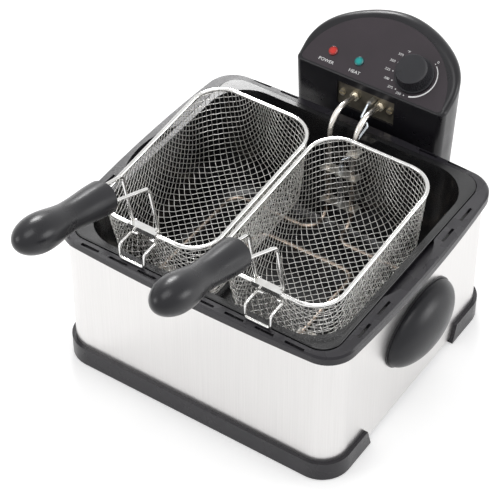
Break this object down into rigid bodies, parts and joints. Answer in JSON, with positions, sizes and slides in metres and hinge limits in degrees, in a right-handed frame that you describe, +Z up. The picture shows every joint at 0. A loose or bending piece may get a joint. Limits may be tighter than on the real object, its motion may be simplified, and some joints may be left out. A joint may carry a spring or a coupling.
{
  "type": "deep fryer",
  "caption": "Dual basket countertop deep fryer: brushed steel housing, black oil pot, sloped control head with dial and lamps, immersion element, wire mesh baskets with folding handles.",
  "frame": {"origin": "on the table, under the middle of the whole fryer's bounding box, basket handles included", "axes": "+Z up; +Y towards the control head at the rear; -Y towards the basket handles; +X to the right of someone facing the front"},
  "size_m": [0.399, 0.5983, 0.3563],
  "materials": {
    "brushed_steel": "fine vertical-grain brushed stainless steel",
    "housing_plastic": "satin charcoal moulded plastic",
    "head_plastic": "fine-grained matte charcoal plastic",
    "panel_sheet": "matte dark grey printed sheet",
    "knob_plastic": "satin near-black plastic",
    "grip_plastic": "satin charcoal plastic with a fine grain",
    "rubber_pad": "matte black rubber",
    "black_enamel": "glossy black enamelled steel",
    "zinc_sheet": "dull zinc-plated sheet",
    "zinc_screw": "bright zinc-plated steel",
    "brass_screw": "bright brass-plated steel",
    "bracket_metal": "dark olive passivated sheet",
    "element_steel": "smooth warm-tinted stainless tube",
    "dull_metal": "dull turned metal",
    "capillary_metal": "pale bluish bare metal",
    "chrome_wire": "bright chrome-plated wire",
    "mesh_wire": "bright woven wire",
    "red_lens": "translucent red lens",
    "teal_lens": "translucent blue-green lens",
    "insulator": "matte phenolic moulding",
    "socket_plastic": "matte black plastic",
    "reset_plastic": "glossy red plastic"
  },
  "bodies": {
    "housing": {"outer_shell": "brushed_steel", "top_bezel": "housing_plastic", "front_base_strip": "housing_plastic", "rear_base_strip": "housing_plastic", "rubber_feet": "rubber_pad", "base_tray": "zinc_sheet", "tie_screws": "zinc_screw", "heat_shield": "zinc_sheet", "right_side_handle": "housing_plastic", "left_side_handle": "housing_plastic", "right_handle_plate": "housing_plastic", "left_handle_plate": "housing_plastic", "handle_screws": "zinc_screw", "head_dock": "housing_plastic", "dock_screws": "zinc_screw"},
    "pot": {"oil_pot": "black_enamel"},
    "head": {"head_front_shell": "head_plastic", "head_rear_cover": "head_plastic", "cover_screws": "zinc_screw", "control_panel": "panel_sheet", "power_lamp": "red_lens", "heat_lamp": "teal_lens", "thermostat_body": "insulator", "element_bracket": "bracket_metal", "bracket_screws": "brass_screw", "element_nuts": "brass_screw", "heating_element": "element_steel", "element_stays": "dull_metal", "capillary": "capillary_metal", "capillary_gland": "dull_metal", "sensor_bulb": "capillary_metal", "bulb_clips": "dull_metal", "capillary_clip": "dull_metal", "cord_socket": "socket_plastic", "socket_pins": "brass_screw", "limit_switch": "insulator", "terminal_block": "insulator"},
    "knob": {"thermostat_knob": "knob_plastic", "thermostat_shaft": "dull_metal"},
    "reset": {"reset_button": "reset_plastic"},
    "left_basket": {"left_basket_rim": "chrome_wire", "left_basket_mesh": "mesh_wire", "left_basket_hook": "chrome_wire", "left_handle_saddle": "chrome_wire"},
    "left_handle": {"left_handle_wires": "chrome_wire", "left_handle_grip": "grip_plastic"},
    "right_basket": {"right_basket_rim": "chrome_wire", "right_basket_mesh": "mesh_wire", "right_basket_hook": "chrome_wire", "right_handle_saddle": "chrome_wire"},
    "right_handle": {"right_handle_wires": "chrome_wire", "right_handle_grip": "grip_plastic"}
  },
  "joints": [
    {"name": "pot_lift", "type": "slide", "parent": "housing", "child": "pot", "axis": [0, 0, 1], "range_m": [0, 0.2]},
    {"name": "head_lift", "type": "slide", "parent": "pot", "child": "head", "axis": [0, 0, 1], "range_m": [0, 0.16]},
    {"name": "thermostat_turn", "type": "hinge", "parent": "head", "child": "knob", "pos_m": [0.042, 0.23354, 0.2399], "axis": [0, 0.5, -0.866], "range_deg": [-198.8, 75.3]},
    {"name": "reset_press", "type": "slide", "parent": "head", "child": "reset", "axis": [0, -1, 0], "range_m": [0, 0.002], "stiffness_N_per_m": 600},
    {"name": "left_basket_lift", "type": "slide", "parent": "head", "child": "left_basket", "axis": [0, 0, 1], "range_m": [0, 0.2]},
    {"name": "left_handle_fold", "type": "hinge", "parent": "left_basket", "child": "left_handle", "pos_m": [-0.0779, -0.09905, 0.21219], "axis": [-1, 0, 0], "range_deg": [0, 125]},
    {"name": "right_basket_lift", "type": "slide", "parent": "head", "child": "right_basket", "axis": [0, 0, 1], "range_m": [0, 0.2]},
    {"name": "right_handle_fold", "type": "hinge", "parent": "right_basket", "child": "right_handle", "pos_m": [0.0739, -0.09905, 0.21219], "axis": [-1, 0, 0], "range_deg": [0, 125]}
  ]
}
